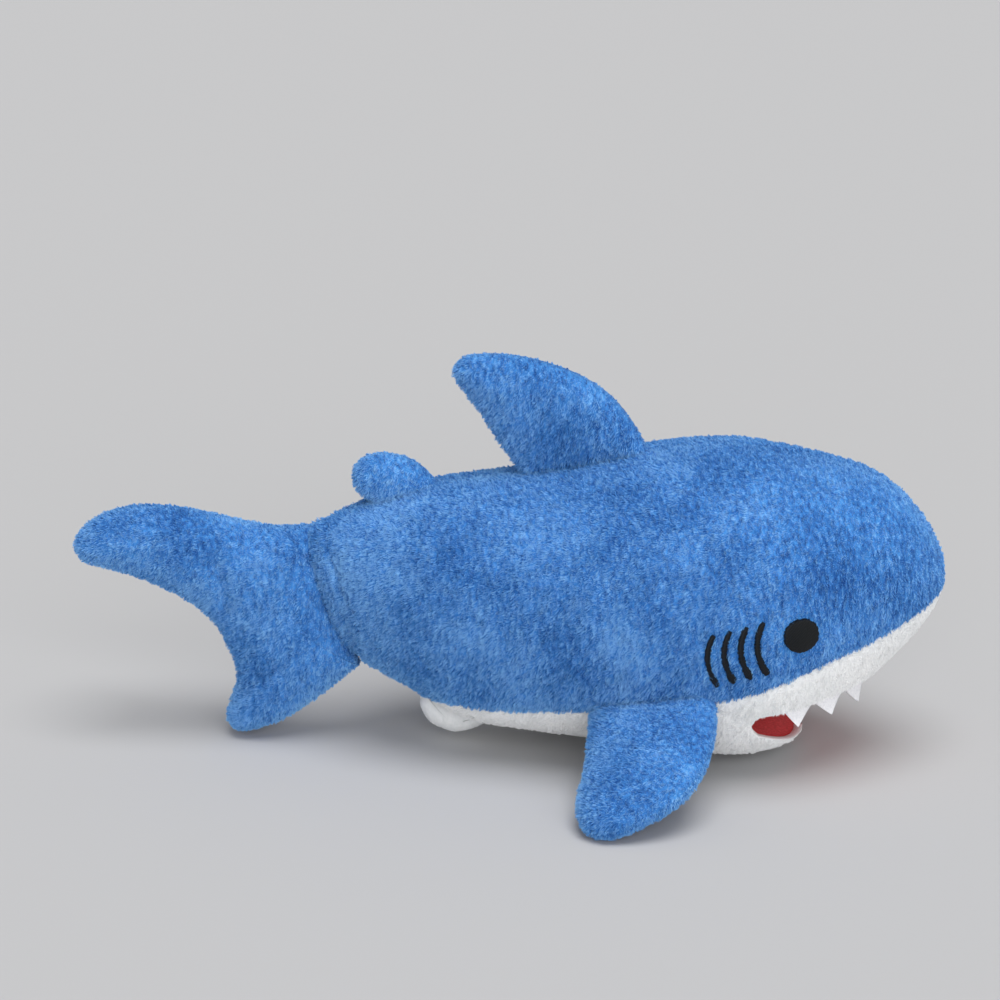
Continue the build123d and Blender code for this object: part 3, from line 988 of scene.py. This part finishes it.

# the belly cloth runs on into the chin; the jaw's hinge is read, and the cloth's placing is baked into its
# points, in metres here
jawAxis = Vector(jointOf["jaw_press"]["pos_m"])
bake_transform(belly)

tuftCount = addPile(back, pile["backLean"])
tuftCount += addPile(snout, pile["snoutLean"], pile["whiteLength"], pile["whiteThick"])
tuftCount += addPile(belly, pile["bellyLean"], pile["whiteLength"], pile["whiteThick"])
tuftCount += addPile(tailPiece, pile["tailLean"], pile["limbLength"])
for name, piece in finPieces.items():
    lean = pile["dorsalLean"] if "dorsal" in name else pile["lowFinLean"]
    tuftCount += addPile(piece, lean, pile["limbLength"])
print("pile made,", tuftCount, "tufts")


studio = {
    "paper": "#c9c9ca", "reach": 6.0, "sky": "#f0f0f1", "skyStrength": 0.36,
    "key": {"from": (0.2, -0.35, 1.6), "spread": 40, "power": 1.75},
    "front": {"from": (0.25, -1.0, 0.2), "spread": 60, "power": 2.0},
}


def makeStudio():
    floorMaterial, tree = newMaterial("pale_paper_sweep")
    paper = addNode(tree, "ShaderNodeBsdfPrincipled",
                    {"Roughness": 0.95, "Specular IOR Level": 0.05,
                     "Base Color": linearColour(studio["paper"])})
    addNode(tree, "ShaderNodeOutputMaterial", links={"Surface": paper.outputs["BSDF"]})
    mesh = bpy.data.meshes.new("floor")
    reach = studio["reach"]
    mesh.from_pydata([(-reach, -reach, 0), (reach, -reach, 0), (reach, reach, 0), (-reach, reach, 0)], [],
                     [(0, 1, 2, 3)])
    floor = bpy.data.objects.new("floor", mesh)
    mesh.materials.append(floorMaterial)
    bpy.context.scene.collection.objects.link(floor)

    world = bpy.data.worlds.new("studio")
    world.use_nodes = True
    background = world.node_tree.nodes["Background"]
    background.inputs["Color"].default_value = linearColour(studio["sky"])
    background.inputs["Strength"].default_value = studio["skyStrength"]
    bpy.context.scene.world = world

    for name in ("key", "front"):
        lamp = studio[name]
        light = bpy.data.lights.new(name, "SUN")
        light.angle = math.radians(lamp["spread"])
        light.energy = lamp["power"]
        holder = bpy.data.objects.new(name, light)
        holder.rotation_euler = Vector(lamp["from"]).to_track_quat("Z", "Y").to_euler()
        bpy.context.scene.collection.objects.link(holder)


view = {
    "turn": 4.0, "tilt": 18.0, "distance": 1.1, "target": (noseX / 1000 - 0.153, 0, 0.089), "lens": 114.84,
}


def makeCamera():
    turn, tilt = math.radians(view["turn"]), math.radians(view["tilt"])
    away = Vector((math.sin(turn) * math.cos(tilt), -math.cos(turn) * math.cos(tilt), math.sin(tilt)))
    camera = bpy.data.objects.new("camera", bpy.data.cameras.new("camera"))
    camera.data.lens = view["lens"]
    camera.data.sensor_width = 36.0
    camera.location = Vector(view["target"]) + away * view["distance"]
    camera.rotation_euler = (-away).to_track_quat("-Z", "Y").to_euler()
    bpy.context.scene.collection.objects.link(camera)
    bpy.context.scene.camera = camera


makeStudio()
makeCamera()
bpy.context.scene.view_settings.view_transform = "Standard"
print("studio made")
